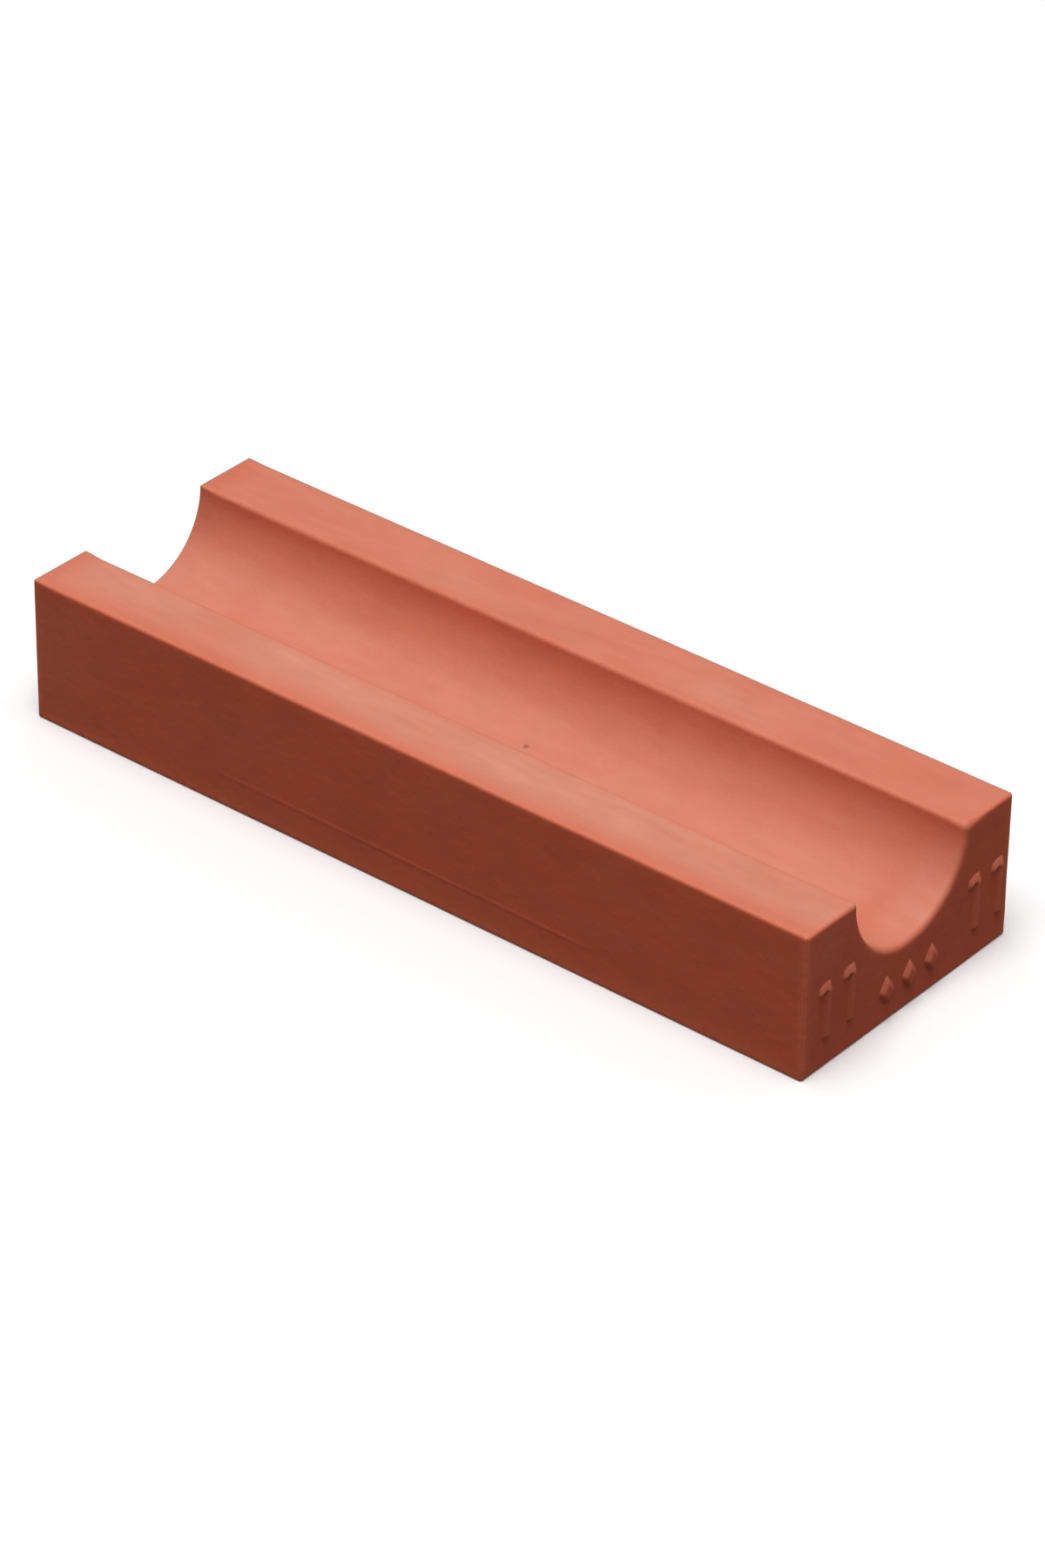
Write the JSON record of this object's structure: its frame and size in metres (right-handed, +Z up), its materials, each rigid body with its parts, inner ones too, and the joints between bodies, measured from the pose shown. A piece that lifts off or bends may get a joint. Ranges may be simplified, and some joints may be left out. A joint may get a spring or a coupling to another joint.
{
  "type": "cable transit insert half-block",
  "caption": "Solid rubber half-block with a half-round cable groove along its parting face, flat lands beside it and raised size marks on one end.",
  "frame": {"origin": "centre of the flat base", "axes": "+X along the cable towards the end with the raised marks, +Z up out of the grooved parting face, +Y across the block"},
  "size_m": [0.0602, 0.02, 0.01],
  "materials": {
    "moulded_rubber": "matt, brick red, with a pale bloom"
  },
  "bodies": {
    "root": {"half_block": "moulded_rubber", "near_numerals": "moulded_rubber", "far_numerals": "moulded_rubber", "centre_mark": "moulded_rubber"}
  },
  "joints": []
}
